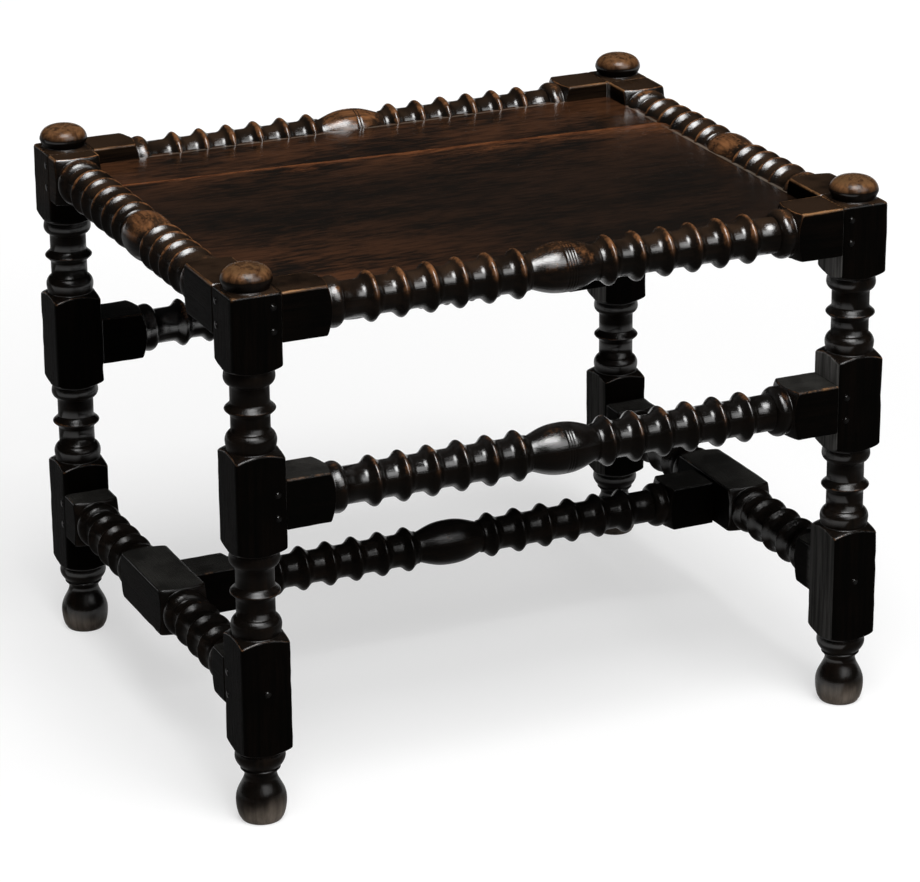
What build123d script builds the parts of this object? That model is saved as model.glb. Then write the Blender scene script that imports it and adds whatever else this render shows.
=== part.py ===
from build123d import *
from collections import namedtuple
from math import sqrt
import os

# Ring-turned joint stool. Millimetres, +Z up, +X along the long side of the seat.
# The origin is on the floor, under the middle of the seat.

# Overall layout: the spacings are between the axes of the legs
leg_spacing_x = 490
leg_spacing_y = 394
overall_height = 430

# Squares of the members before turning
leg_square = 39
rail_square = 38
middle_square = 39
low_square = 38
centre_square = 36

# Turning, shared by every member
ring_depth = 5
ring_width = 9
valley_depth = 1.5
shoulder_run = 5
corner_margin = 1
barrel_gap = 5
last_ring_gap = 1.25

# The legs' square blocks: the low one is measured up from the floor and the top one down
# from the leg's top, and the turnings share what is left, a little more of it below
low_block_base = 56.5
low_block_length = 92.5
middle_block_length = 78
top_block_length = 59
middle_block_raise = 2
button_height = 18

# Turned parts of the legs
leg_over_collar = 14
leg_under_collar = 12
sole_radius = 13.5
ball_radius = 19
ball_level = 16
ankle_radius = 11
ankle_level = 37
ankle_flare = 2
button_base_radius = 17
button_radius = 19
button_step = 1.5
button_widest = 8.5

# Places of the stretchers' axes: under the middle of the leg's middle block, under the top
# of its low block, and under the axes of the low stretchers
middle_stretcher_drop = 1.5
low_stretcher_drop = 42
centre_stretcher_drop = 2.5

# Long members: front and back rails, middle stretchers and centre stretcher
long_collar_inset = 43.8
long_collar_width = 12
long_rings = 6
long_barrel_half = 27
centre_stretcher_shift = -4

# Short rails: the insets are from the legs to the collars, and the shift is the barrel's
short_collar_width = 12
short_front_rings = 4
short_back_rings = 5
short_barrel_half = 22
left_front_inset = 63
left_back_inset = 23
left_shift = 2.5
right_front_inset = 57
right_back_inset = 37
right_shift = -5

# Low end stretchers: a square block in the middle takes the centre stretcher
low_end_block = 25
low_block_half = 46
low_collar_width = 12
low_rings = 3

# Mortise and tenon joints
tenon_thickness = 10
tenon_height = 26
tenon_length = 24
mortise_side_clearance = 0.1
mortise_end_clearance = 0.5
mitre_gap = 0.4
peg_radius = 3
peg_clearance = 0.05
peg_inset = 7.5
peg_edge = 1
peg_lead = 4
peg_proud = 0.4
pin_radius = 2.5
pin_bite = 8

# Seat boards, held in grooves of the four rails
seat_thickness = 10
seat_drop = 12.5
groove_depth = 9
groove_clearance = 0.2
seat_edge_clearance = 0.6
seat_corner_clearance = 0.4
joint_left_y = 118.5
joint_right_y = 88
tongue_width = 6
tongue_thickness = 3
tongue_clearance = 0.2

# Places worked out from the sizes above
leg_half = leg_square / 2
half_x = leg_spacing_x / 2
half_y = leg_spacing_y / 2
span_x = half_x - leg_half
span_y = half_y - leg_half
outer_x = half_x + leg_half
outer_y = half_y + leg_half
low_block_top = low_block_base + low_block_length
top_block_top = overall_height - button_height
top_block_base = top_block_top - top_block_length
turned_length = (top_block_base - low_block_top - middle_block_length) / 2
middle_block_base = low_block_top + turned_length + middle_block_raise
middle_block_top = middle_block_base + middle_block_length
middle_level = middle_block_base + middle_block_length / 2 - middle_stretcher_drop
low_level = low_block_top - low_stretcher_drop
centre_level = low_level - centre_stretcher_drop
rail_level = top_block_top - rail_square / 2
seat_base = top_block_top - seat_drop - seat_thickness
mortise_width = tenon_thickness + 2 * mortise_side_clearance
mortise_height = tenon_height + 2 * mortise_side_clearance
mortise_length = tenon_length + mortise_end_clearance
mitred_length = leg_half + tenon_thickness / 2
peg_offset = tenon_height / 2 - peg_radius - peg_edge
centre_span = outer_x - low_square

# A run is the direction of a member: how far along it the legs' inner faces are,
# and how far across it the legs' axes and outer faces are
Run = namedtuple("Run", "span axis outer")
run_x = Run(span_x, half_y, outer_y)
run_y = Run(span_y, half_x, outer_x)

# The signs of the two ends of a member, or of its two sides
both = (-1, 1)

# Radii of a turned member
Turning = namedtuple("Turning", "square crest neck valley corner")


def turning(square):
    crest = square / 2
    return Turning(square, crest, crest - ring_depth, crest - valley_depth, crest * sqrt(2) + corner_margin)


# A turned outline is a list of steps, each a tuple of (radius, level) points:
# one point is reached by a line, two points by an arc through the first.


def block_to_collar(cut, level, width):
    """The square block ends at the level and a collar follows it."""
    return [
        ((cut.corner, level - shoulder_run),),
        ((cut.valley, level),),
        ((cut.crest, level + width / 2), (cut.neck, level + width)),
    ]


def collar_to_block(cut, level, width):
    """A collar ends at the level, where the square block begins."""
    return [
        ((cut.neck, level - width),),
        ((cut.crest, level - width / 2), (cut.valley, level)),
        ((cut.corner, level + shoulder_run),),
    ]


def swelling(cut, level, half_width):
    """A ring or a barrel: an arc that stands on the neck."""
    return [
        ((cut.neck, level - half_width),),
        ((cut.crest, level), (cut.neck, level + half_width)),
    ]


def ring_row(cut, levels):
    steps = []
    for level in levels:
        steps += swelling(cut, level, ring_width / 2)
    return steps


def step_edges(start, steps):
    edges = []
    here = start
    for step in steps:
        points = [Vector(radius, 0, level) for radius, level in (here, *step)]
        edges.append(Line(*points) if len(points) == 2 else ThreePointArc(*points))
        here = step[-1]
    return edges


def lathe(edges, start, end):
    """Closes the edges on the axis, from the end back to the start, and spins them about Z."""
    corners = [(end[0], 0, end[1]), (0, 0, end[1]), (0, 0, start[1]), (start[0], 0, start[1])]
    if end[0] == 0:
        corners = corners[1:]
    return revolve(make_face(Curve() + [*edges, Polyline(*corners)]), Axis.Z, 360)


def turned_bar(cut, half, steps):
    """A square bar along Z, turned between its end blocks."""
    start = (cut.corner, -half)
    end = (cut.corner, half)
    edges = step_edges(start, [*steps, (end,)])
    return lathe(edges, start, end) & Box(cut.square, cut.square, 2 * half)


def barrel_bar(cut, half, collars, width, counts, barrel_half, shift):
    """End blocks, a collar by each, rings, and a barrel near the middle."""
    first = barrel_half + barrel_gap + ring_width / 2
    rows = []
    for side, collar, count in zip(both, collars, counts):
        start = shift + side * first
        pitch = (collar - start) / (count - 1 + last_ring_gap)
        rows.append([start + pitch * index for index in range(count)])
    steps = block_to_collar(cut, collars[0] - width / 2, width)
    steps += ring_row(cut, reversed(rows[0]))
    steps += swelling(cut, shift, barrel_half)
    steps += ring_row(cut, rows[1])
    steps += collar_to_block(cut, collars[1] + width / 2, width)
    return turned_bar(cut, half, steps)


def long_bar(square, half=span_x, shift=0):
    collars = (long_collar_inset - span_x, span_x - long_collar_inset)
    counts = (long_rings, long_rings)
    cut = turning(square)
    return barrel_bar(cut, half, collars, long_collar_width, counts, long_barrel_half, shift)


def short_bar(front_inset, back_inset, shift):
    collars = (front_inset - span_y, span_y - back_inset)
    counts = (short_front_rings, short_back_rings)
    cut = turning(rail_square)
    return barrel_bar(cut, span_y, collars, short_collar_width, counts, short_barrel_half, shift)


def low_bar():
    """End blocks and a middle block, with collars and rings between them."""
    cut = turning(low_square)
    near = low_block_half
    far = span_y - low_end_block
    pitch = (far - near - low_collar_width) / (low_rings + 1)
    rings = [near + low_collar_width / 2 + pitch * (index + 1) for index in range(low_rings)]
    steps = block_to_collar(cut, -far, low_collar_width)
    steps += ring_row(cut, [-level for level in reversed(rings)])
    steps += collar_to_block(cut, -near, low_collar_width)
    steps += block_to_collar(cut, near, low_collar_width)
    steps += ring_row(cut, rings)
    steps += collar_to_block(cut, far, low_collar_width)
    return turned_bar(cut, span_y, steps)


def lay(bar, run, across, level):
    """Lays an upright bar along the run."""
    if run is run_x:
        return Pos(0, across, level) * Rot(0, 90, 0) * bar
    return Pos(across, 0, level) * Rot(-90, 0, 0) * bar


def block(run, along, across, level, length, width, height):
    """A box centred at the given place along and across the run."""
    if run is run_x:
        return Pos(along, across, level) * Box(length, width, height)
    return Pos(across, along, level) * Box(width, length, height)


# In the joints below, end is the sign along the run and side is the sign across it.


def tenon(run, end, side, level):
    place = end * (run.span + tenon_length / 2)
    return block(run, place, side * run.axis, level, tenon_length, tenon_thickness, tenon_height)


def mitred_tenon(run, end, side):
    """A seat rail's tenon, mitred at its end, where it meets the other rail's tenon in the leg."""
    half = tenon_thickness / 2
    short = mitred_length - tenon_thickness - mitre_gap
    corners = [
        (run.span, run.axis - half),
        (run.span + short, run.axis - half),
        (run.span + short + tenon_thickness, run.axis + half),
        (run.span, run.axis + half),
    ]
    signs = (end, side)
    if run is run_y:
        corners = [(across, along) for along, across in corners]
        signs = (side, end)
    plan = make_face(Polyline(*[(signs[0] * x, signs[1] * y) for x, y in corners], close=True))
    base = Plane.XY.offset(rail_level - tenon_height / 2)
    return extrude(base * plan, tenon_height, dir=(0, 0, 1))


def mortise(run, end, side, level, depth=mortise_length):
    """The pocket in a leg for a tenon, cut in from the leg's inner face."""
    place = end * (run.span + depth / 2)
    return block(run, place, side * run.axis, level, depth, mortise_width, mortise_height)


def joint_pegs(run, end, side, level, clearance=0):
    """The two pegs of a joint, driven in from the leg's outer face, or their holes."""
    length = leg_half + tenon_thickness / 2 + peg_lead + peg_proud
    along = end * (run.span + peg_inset)
    across = side * (run.outer + peg_proud - length / 2)
    rod = Cylinder(peg_radius + clearance, length + 2 * clearance)
    if run is run_x:
        return [Pos(along, across, level + lift) * Rot(90, 0, 0) * rod for lift in (-peg_offset, peg_offset)]
    return [Pos(across, along, level + lift) * Rot(0, 90, 0) * rod for lift in (-peg_offset, peg_offset)]


def peg_sets(run, ends, sides, level, clearance=0):
    return [peg for end in ends for side in sides for peg in joint_pegs(run, end, side, level, clearance)]


def front_pin(x, clearance=0):
    """A pin through a front leg into the end of the low stretcher's tenon, or its hole."""
    length = leg_square - tenon_length + pin_bite + peg_proud
    rod = Cylinder(pin_radius + clearance, length)
    return Pos(x * half_x, length / 2 - outer_y - peg_proud, low_level) * Rot(90, 0, 0) * rod


def centre_peg(x, clearance=0):
    """A peg driven up through the low stretcher into the centre stretcher's tenon, or its hole."""
    base = low_level - low_square / 2 - peg_proud - clearance
    top = centre_level + tenon_height / 2
    rod = Cylinder(peg_radius + clearance, top - base)
    return Pos(x * (centre_span + peg_inset), 0, (base + top) / 2) * rod


def leg_outline():
    cut = turning(leg_square)
    sole = (sole_radius, 0, 0)
    ball = (ball_radius, 0, ball_level)
    ankle = (ankle_radius, 0, ankle_level)
    foot = [
        Spline(sole, ball, tangents=[(1, 0, 1), (0, 0, 1)]),
        Spline(ball, ankle, tangents=[(0, 0, 1), (0, 0, 1)]),
    ]
    collar_base = ankle_level + ankle_flare
    collar_crest = (collar_base + low_block_base) / 2 + ankle_flare
    steps = [
        ((ankle_radius + ankle_flare / 2, collar_base),),
        ((cut.crest, collar_crest), (cut.valley, low_block_base)),
        ((cut.corner, low_block_base + shoulder_run),),
    ]
    for base, top in ((low_block_top, middle_block_base), (middle_block_top, top_block_base)):
        over = base + leg_over_collar / 2
        under = top - leg_under_collar / 2
        steps += block_to_collar(cut, base, leg_over_collar)
        steps += ring_row(cut, [(over + under) / 2])
        steps += collar_to_block(cut, top, leg_under_collar)
    step_top = top_block_top + button_step
    steps += [
        ((cut.corner, top_block_top),),
        ((button_base_radius, top_block_top),),
        ((button_base_radius, step_top),),
    ]
    base = (button_base_radius, 0, step_top)
    widest = (button_radius, 0, top_block_top + button_widest)
    button = [
        Spline(base, widest, tangents=[(1, 0, 0), (0, 0, 1)]),
        Spline(widest, (0, 0, overall_height), tangents=[(0, 0, 1), (-1, 0, 0)]),
    ]
    return [*foot, *step_edges((ankle_radius, ankle_level), steps), *button]


def make_leg(x, y):
    spun = lathe(leg_outline(), (sole_radius, 0), (0, overall_height))
    bar = Box(leg_square, leg_square, overall_height, align=(Align.CENTER, Align.CENTER, Align.MIN))
    leg = Pos(x * half_x, y * half_y, 0) * (spun & bar)
    mitred_depth = mitred_length + mortise_end_clearance
    cuts = [
        mortise(run_x, x, y, rail_level, mitred_depth),
        mortise(run_y, y, x, rail_level, mitred_depth),
        mortise(run_x, x, y, middle_level),
        mortise(run_y, y, x, low_level),
        *joint_pegs(run_x, x, y, rail_level, peg_clearance),
        *joint_pegs(run_y, y, x, rail_level, peg_clearance),
        *joint_pegs(run_x, x, y, middle_level, peg_clearance),
        *joint_pegs(run_y, y, x, low_level, peg_clearance),
    ]
    if y < 0:
        cuts.append(front_pin(x, peg_clearance))
    return leg - cuts


def make_rail(bar, run, side):
    """A seat rail, with tenons, peg holes and the groove for the seat boards."""
    rail = lay(bar, run, side * (run.outer - rail_square / 2), rail_level)
    rail += [mitred_tenon(run, end, side) for end in both]
    inner = run.outer - rail_square
    groove_height = seat_thickness + groove_clearance
    groove = block(run, 0, side * (inner + groove_depth / 2), seat_base + groove_height / 2,
                   2 * run.span, groove_depth, groove_height)
    return rail - [groove, *peg_sets(run, both, (side,), rail_level, peg_clearance)]


def make_middle_stretcher(y):
    bar = lay(long_bar(middle_square), run_x, y * (outer_y - middle_square / 2), middle_level)
    bar += [tenon(run_x, end, y, middle_level) for end in both]
    return bar - peg_sets(run_x, both, (y,), middle_level, peg_clearance)


def centre_pocket(x):
    """The mortise for the centre stretcher in the low stretcher's middle block."""
    place = x * (centre_span + mortise_length / 2)
    return block(run_x, place, 0, centre_level, mortise_length, mortise_width, mortise_height)


def make_low_stretcher(x):
    bar = lay(low_bar(), run_y, x * (outer_x - low_square / 2), low_level)
    bar += [tenon(run_y, end, x, low_level) for end in both]
    holes = peg_sets(run_y, both, (x,), low_level, peg_clearance)
    return bar - [*holes, centre_pocket(x), centre_peg(x, peg_clearance), front_pin(x, peg_clearance)]


def make_centre_stretcher():
    bar = lay(long_bar(centre_square, centre_span, centre_stretcher_shift), run_x, 0, centre_level)
    for x in both:
        place = x * (centre_span + tenon_length / 2)
        bar += block(run_x, place, 0, centre_level, tenon_length, tenon_thickness, tenon_height)
    return bar - [centre_peg(x, peg_clearance) for x in both]


def seat_plan():
    """Plan of both seat boards: a rectangle in the grooves, notched at the legs."""
    edge_x = outer_x - rail_square + groove_depth - seat_edge_clearance
    edge_y = outer_y - rail_square + groove_depth - seat_edge_clearance
    plan = Rectangle(2 * edge_x, 2 * edge_y)
    notch_x = edge_x - span_x + seat_corner_clearance
    notch_y = edge_y - span_y + seat_corner_clearance
    for x in both:
        for y in both:
            corner = Pos(x * (edge_x - notch_x / 2), y * (edge_y - notch_y / 2))
            plan -= corner * Rectangle(notch_x, notch_y)
    return plan


def front_of_joint(offset):
    """Plan of everything in front of the boards' slanting joint, moved back by the offset."""
    corners = [
        (-outer_x, -outer_y),
        (outer_x, -outer_y),
        (outer_x, joint_right_y + offset),
        (-outer_x, joint_left_y + offset),
    ]
    return make_face(Polyline(*corners, close=True))


def seat_layer(plan, base, thickness):
    return Pos(0, 0, base) * extrude(plan, thickness)


def make_seat_boards():
    """The front board has a tongue on its back edge, and the back board is grooved for it."""
    plan = seat_plan()
    tongue_base = seat_base + (seat_thickness - tongue_thickness) / 2
    tongue_plan = plan & front_of_joint(tongue_width) - front_of_joint(-tongue_width)
    front = seat_layer(plan & front_of_joint(0), seat_base, seat_thickness)
    front += seat_layer(tongue_plan, tongue_base, tongue_thickness)
    back = seat_layer(plan - front_of_joint(0), seat_base, seat_thickness)
    slot_plan = front_of_joint(tongue_width + tongue_clearance)
    slot = seat_layer(slot_plan, tongue_base - tongue_clearance, tongue_thickness + 2 * tongue_clearance)
    return front, back - slot


seat_front, seat_back = make_seat_boards()
left_bar = short_bar(left_front_inset, left_back_inset, left_shift)
right_bar = short_bar(right_front_inset, right_back_inset, right_shift)
nodes = {
    "leg_front_left": make_leg(-1, -1),
    "leg_front_right": make_leg(1, -1),
    "leg_back_left": make_leg(-1, 1),
    "leg_back_right": make_leg(1, 1),
    "seat_rail_front": make_rail(long_bar(rail_square), run_x, -1),
    "seat_rail_back": make_rail(long_bar(rail_square), run_x, 1),
    "seat_rail_left": make_rail(left_bar, run_y, -1),
    "seat_rail_right": make_rail(right_bar, run_y, 1),
    "middle_stretcher_front": make_middle_stretcher(-1),
    "middle_stretcher_back": make_middle_stretcher(1),
    "low_stretcher_left": make_low_stretcher(-1),
    "low_stretcher_right": make_low_stretcher(1),
    "centre_stretcher": make_centre_stretcher(),
    "seat_board_front": seat_front,
    "seat_board_back": seat_back,
    "pegs_long_rails": Compound(children=peg_sets(run_x, both, both, rail_level)),
    "pegs_short_rails": Compound(children=peg_sets(run_y, both, both, rail_level)),
    "pegs_middle_stretchers": Compound(children=peg_sets(run_x, both, both, middle_level)),
    "pegs_low_stretchers": Compound(children=peg_sets(run_y, both, both, low_level)),
    "pegs_centre_stretcher": Compound(children=[centre_peg(x) for x in both]),
    "pins_front_legs": Compound(children=[front_pin(x) for x in both]),
}

os.makedirs("parts", exist_ok=True)
for name, shape in nodes.items():
    export_step(shape, f"parts/{name}.step")
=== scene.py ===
import bpy
import bmesh
import math
import random
from mathutils import Matrix, Vector


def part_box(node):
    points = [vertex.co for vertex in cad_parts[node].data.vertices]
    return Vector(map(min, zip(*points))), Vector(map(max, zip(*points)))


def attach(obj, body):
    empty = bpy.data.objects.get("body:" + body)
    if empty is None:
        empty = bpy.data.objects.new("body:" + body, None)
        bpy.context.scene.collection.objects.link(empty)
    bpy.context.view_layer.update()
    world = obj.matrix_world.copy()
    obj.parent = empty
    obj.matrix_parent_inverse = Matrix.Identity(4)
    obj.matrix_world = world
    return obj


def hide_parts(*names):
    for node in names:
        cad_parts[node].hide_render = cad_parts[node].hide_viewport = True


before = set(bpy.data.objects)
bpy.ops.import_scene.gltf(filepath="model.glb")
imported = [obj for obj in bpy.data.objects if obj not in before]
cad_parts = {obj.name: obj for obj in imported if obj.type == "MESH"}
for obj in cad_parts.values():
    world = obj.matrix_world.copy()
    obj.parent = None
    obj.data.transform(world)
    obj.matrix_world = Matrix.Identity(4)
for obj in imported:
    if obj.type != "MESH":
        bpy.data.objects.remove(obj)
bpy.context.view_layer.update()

print("frame loaded")

mm = 0.001  # the dictionaries of legs, rails, seat and pegs are in millimetres, the others in metres


# helpers for node trees: a Value is a node's output that can stand in sums

class Value:
    def __init__(self, tree, socket):
        self.tree = tree
        self.socket = socket

    def calc(self, operation, *others):
        return calc(self.tree, operation, self, *others)

    def between(self, low, high, outLow=0.0, outHigh=1.0):  # a soft step from low to high
        return nodeValue(self.tree, "ShaderNodeMapRange", "Result", {
            "Value": self, "From Min": low, "From Max": high, "To Min": outLow, "To Max": outHigh,
        }, interpolation_type="SMOOTHSTEP")

    def atLeast(self, other):
        return self.calc("MAXIMUM", other)

    def through(self, kind, inputs=None, **settings):  # a geometry after one more node
        return nodeValue(self.tree, kind, 0, {"Geometry": self, **(inputs or {})}, **settings)

    def __add__(self, other):
        return self.calc("ADD", other)

    def __sub__(self, other):
        return self.calc("SUBTRACT", other)

    def __rsub__(self, other):
        return calc(self.tree, "SUBTRACT", other, self)

    def __mul__(self, other):
        return self.calc("MULTIPLY", other)

    def __truediv__(self, other):
        return self.calc("DIVIDE", other)

    def __pow__(self, other):
        return self.calc("POWER", other)

    def __abs__(self):
        return self.calc("ABSOLUTE")


def socketAt(sockets, key):  # by number, or by name among those in use
    if isinstance(key, int):
        return sockets[key]
    return next(s for s in sockets if s.name == key and s.enabled)


def connect(tree, value, target):
    if isinstance(value, Value):
        tree.links.new(value.socket, target)
    elif target.type == "RGBA":
        target.default_value = (*value, 1)
    else:
        target.default_value = value


def addNode(tree, kind, inputs=None, **settings):
    made = tree.nodes.new(kind)
    for key, value in settings.items():
        setattr(made, key, value)
    for key, value in (inputs or {}).items():
        connect(tree, value, socketAt(made.inputs, key))
    return made


def nodeValue(tree, kind, output, inputs=None, **settings):
    return Value(tree, socketAt(addNode(tree, kind, inputs, **settings).outputs, output))


def calc(tree, operation, *values):
    return nodeValue(tree, "ShaderNodeMath", 0, dict(enumerate(values)), operation=operation)


def vectorCalc(tree, operation, *values):
    return nodeValue(tree, "ShaderNodeVectorMath", 0, dict(enumerate(values)), operation=operation)


def vectorLength(tree, vector):
    return nodeValue(tree, "ShaderNodeVectorMath", "Value", {0: vector}, operation="LENGTH")


def splitVector(tree, vector):
    parts = addNode(tree, "ShaderNodeSeparateXYZ", {0: vector})
    return [Value(tree, socket) for socket in parts.outputs]


def joinVector(tree, x, y, z):
    return nodeValue(tree, "ShaderNodeCombineXYZ", 0, {0: x, 1: y, 2: z})


def noise(tree, place, scale, detail, roughness=0.5, distortion=0.0):
    return nodeValue(tree, "ShaderNodeTexNoise", "Fac", {
        "Vector": place, "Scale": scale, "Detail": detail, "Roughness": roughness, "Distortion": distortion})


def mixColours(tree, share, first, second):
    return nodeValue(tree, "ShaderNodeMix", 2, {0: share, 6: first, 7: second}, data_type="RGBA")


def surfaceAttribute(tree, name, output="Fac"):
    return nodeValue(tree, "ShaderNodeAttribute", output, attribute_name=name)


def meshAttribute(tree, name, kind="FLOAT"):
    return nodeValue(tree, "GeometryNodeInputNamedAttribute", "Attribute", {"Name": name}, data_type=kind)


def storeAttributes(flow, attributes):
    for name, (kind, value) in attributes.items():
        flow = flow.through("GeometryNodeStoreNamedAttribute", {"Name": name, "Value": value},
                            data_type=kind, domain="POINT")
    return flow


# each input is named with its default, or with the kind of socket where it has none
def newGroup(name, treeKind, inputs, outputs):
    tree = bpy.data.node_groups.new(name, treeKind)
    for direction, sockets in (("INPUT", inputs), ("OUTPUT", outputs)):
        for socketName, value in sockets.items():
            kind = value if isinstance(value, str) else {int: "Int", float: "Float"}[type(value)]
            made = tree.interface.new_socket(socketName, in_out=direction, socket_type="NodeSocket" + kind)
            if direction == "INPUT" and value != kind:
                made.default_value = value
    start = tree.nodes.new("NodeGroupInput")
    return tree, {name: Value(tree, start.outputs[name]) for name in inputs}


def closeGroup(tree, results):
    end = tree.nodes.new("NodeGroupOutput")
    for name, value in results.items():
        tree.links.new(value.socket, end.inputs[name])
    return tree


def placeGroup(tree, group, inputs):
    placed = addNode(tree, "ShaderNodeGroup", inputs, node_tree=group)
    return [Value(tree, socket) for socket in placed.outputs]


# shader groups: grain, worn edges and hand polish

def makeGrainGroup():
    tree, given = newGroup("grainStreaks", "ShaderNodeTree", {
        "Vector": "Vector", "Across": 160.0, "Along": 9.0, "Clouds": 26.0,
    }, {"Streak": "Float", "Cloud": "Float", "Pores": "Float"})
    stretch = joinVector(tree, given["Across"], given["Across"], given["Along"])
    stretched = vectorCalc(tree, "MULTIPLY", given["Vector"], stretch)
    finer = vectorCalc(tree, "MULTIPLY", stretched, (5.5, 5.5, 3.2))
    streak = noise(tree, stretched, 1.0, 6.0, 0.62, 0.35)
    cloud = noise(tree, given["Vector"], given["Clouds"], 3.0, 0.55)
    pores = noise(tree, finer, 1.0, 3.0, 0.7)
    return closeGroup(tree, {"Streak": streak.between(0.3, 0.72), "Cloud": cloud.between(0.32, 0.68),
                             "Pores": pores.between(0.35, 0.62)})


def makeWearGroup():
    tree, given = newGroup("wornEdges", "ShaderNodeTree", {
        "Vector": "Vector", "Mask": 0.0, "Amount": 0.5, "Patchiness": 0.6, "Normal": "Vector", "Upward": 0.8,
    }, {"Wear": "Float"})
    patches = noise(tree, given["Vector"], 62.0, 4.0, 0.6)
    nicks = noise(tree, given["Vector"], 420.0, 3.0, 0.65)
    uneven = nicks * 0.45 + patches * 1.1 - 0.78  # about zero on average
    level = uneven * given["Patchiness"] + given["Mask"] + (given["Amount"] - 1.0)
    facing = splitVector(tree, given["Normal"])[2].between(0.02, 0.75)  # rubbed where hands and dusters reach
    reached = (facing - 1.0) * given["Upward"] + 1.0
    return closeGroup(tree, {"Wear": level.between(-0.08, 0.5) * reached})


def makePolishGroup():
    tree, given = newGroup("handPolish", "ShaderNodeTree", {
        "Normal": "Vector", "Cloud": 0.5, "Low": 0.1, "High": 1.0, "Inward": 0.0,
    }, {"Polish": "Float"})
    upward = splitVector(tree, given["Normal"])[2]
    facing = (given["Inward"] * 0.45 + upward).between(0.18, 0.48)  # hands and cloths reach the upper sides
    below = upward.between(-0.5, -0.8, 0.0, 0.75)  # the very underside stays waxed
    patchy = given["Cloud"] * 0.3 + 0.75
    span = given["High"] - given["Low"]
    return closeGroup(tree, {"Polish": facing.atLeast(below) * patchy * span + given["Low"]})


grainStreaks = makeGrainGroup()
wornEdges = makeWearGroup()
handPolish = makePolishGroup()
print("shader groups made")


# wood materials: where a finish names an effect, its dictionary has the colour and how far it goes

turnedFinish = {
    "dark": (0.0028, 0.0022, 0.0017), "brown": (0.0090, 0.0056, 0.0038),
    "wornDark": (0.045, 0.020, 0.0085), "wornPale": (0.27, 0.115, 0.045),
    "across": 210.0, "along": 10.0, "clouds": 26.0, "amount": 0.52, "patchiness": 1.6, "upward": 1.0,
    "polishLow": 0.0, "polishHigh": 1.0, "roughDull": 0.45, "roughWorn": 0.36,
    "specular": 0.02, "coatRoughness": 0.16, "coatIor": 1.9, "grainDepth": 0.00006,
    "handled": {"colour": (0.034, 0.019, 0.0105), "facing": (0.3, 1.0)}, "inner": (0.224, 0.176),
}
stretcherFinish = dict(turnedFinish, **{
    "brown": (0.0048, 0.0030, 0.0021), "wornPale": (0.19, 0.085, 0.036), "polishHigh": 0.85,
})
legFinish = dict(turnedFinish, **{
    "wornPale": (0.21, 0.098, 0.042), "amount": 0.36, "polishHigh": 0.32, "coatRoughness": 0.17,
    "dust": {"colour": (0.20, 0.165, 0.135), "top": 0.025, "fade": 0.018},
    "cap": {"colour": (0.125, 0.066, 0.027), "height": (0.4135, 0.4165)},
})
blockFinish = {
    "dark": (0.0011, 0.0010, 0.0008), "brown": (0.0030, 0.0020, 0.0015),
    "wornDark": (0.050, 0.024, 0.012), "wornPale": (0.38, 0.19, 0.078),
    "across": 240.0, "along": 12.0, "clouds": 26.0, "amount": 0.48, "patchiness": 1.3, "upward": 1.0,
    "polishLow": 0.0, "polishHigh": 0.65, "roughDull": 0.58, "roughWorn": 0.42,
    "specular": 0.006, "coatRoughness": 0.2, "coatIor": 1.5, "grainDepth": 0.0002,
    "handled": {"colour": (0.031, 0.017, 0.0095), "facing": (0.85, 0.98)},
    # the grey on the low ledges is partly dust and partly a painted sheen
    "dustAndSheen": {"colour": (0.036, 0.035, 0.032), "height": (0.34, 0.30)},
    # raw scratches plus a painted pale grey reflection of the floor on the legs' faces turned to the middle
    "inside": {"colour": (0.34, 0.33, 0.315), "depth": (0.172, 0.178)},
    "faded": {"colour": (0.029, 0.016, 0.0085), "depth": (0.12, 0.18), "height": (0.36, 0.385)},
}
seatFinish = {
    "dark": (0.0036, 0.0029, 0.0023), "brown": (0.0138, 0.0088, 0.0060),
    "wornDark": (0.055, 0.018, 0.0075), "wornPale": (0.22, 0.078, 0.027), "even": 0.38,
    "across": 260.0, "along": 120.0, "clouds": 21.0, "amount": 0.62, "patchiness": 1.1, "upward": 0.0,
    "polishLow": 0.4, "polishHigh": 0.9, "roughDull": 0.42, "roughWorn": 0.36,
    "specular": 0.04, "coatRoughness": 0.06, "coatIor": 1.85, "grainDepth": 0.00003,
    "warm": {"colour": (0.105, 0.040, 0.0165)},
    "rim": {"colour": (0.22, 0.18, 0.14), "at": (0.2284, 0.1804), "width": (0.0020, 0.0010)},
}
pegFinish = {
    "dark": (0.0016, 0.0014, 0.0011), "brown": (0.006, 0.004, 0.003),
    "wornDark": (0.02, 0.012, 0.008), "wornPale": (0.08, 0.05, 0.03),
    "across": 300.0, "along": 300.0, "clouds": 60.0, "amount": 0.3, "patchiness": 1.0, "upward": 0.0,
    "roughDull": 0.45, "roughWorn": 0.45, "specular": 0.05, "coatRoughness": 0.14, "coatIor": 1.9,
    "grainDepth": 0.0001, "domed": 0.0024,
}


class Spot:  # what a material knows of a point: its place, the way it faces, its grain and wear
    def __init__(self, tree, finish):
        self.tree = tree
        coordinates = tree.nodes.new("ShaderNodeTexCoord")
        self.normal = Value(tree, coordinates.outputs["Normal"])
        self.facing = splitVector(tree, self.normal)
        self.here = splitVector(tree, Value(tree, coordinates.outputs["Object"]))
        self.x, self.y, self.z = self.here
        self.upward = self.facing[2]
        place = surfaceAttribute(tree, "memberCoord", "Vector")
        self.streak, self.cloud, self.pores = placeGroup(tree, grainStreaks, {
            "Vector": place, "Across": finish["across"], "Along": finish["along"],
            "Clouds": finish["clouds"]})
        self.wear = placeGroup(tree, wornEdges, {
            "Vector": place, "Mask": surfaceAttribute(tree, "worn"), "Amount": finish["amount"],
            "Patchiness": finish["patchiness"], "Normal": self.normal, "Upward": finish["upward"]})[0]


def handledMask(spot, effect):  # flat tops go brown where hands rest
    reach = spot.upward.between(*effect["facing"]) * spot.z.between(0.32, 0.40)
    return spot.cloud.between(-0.4, 0.9) * reach * 0.9


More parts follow.
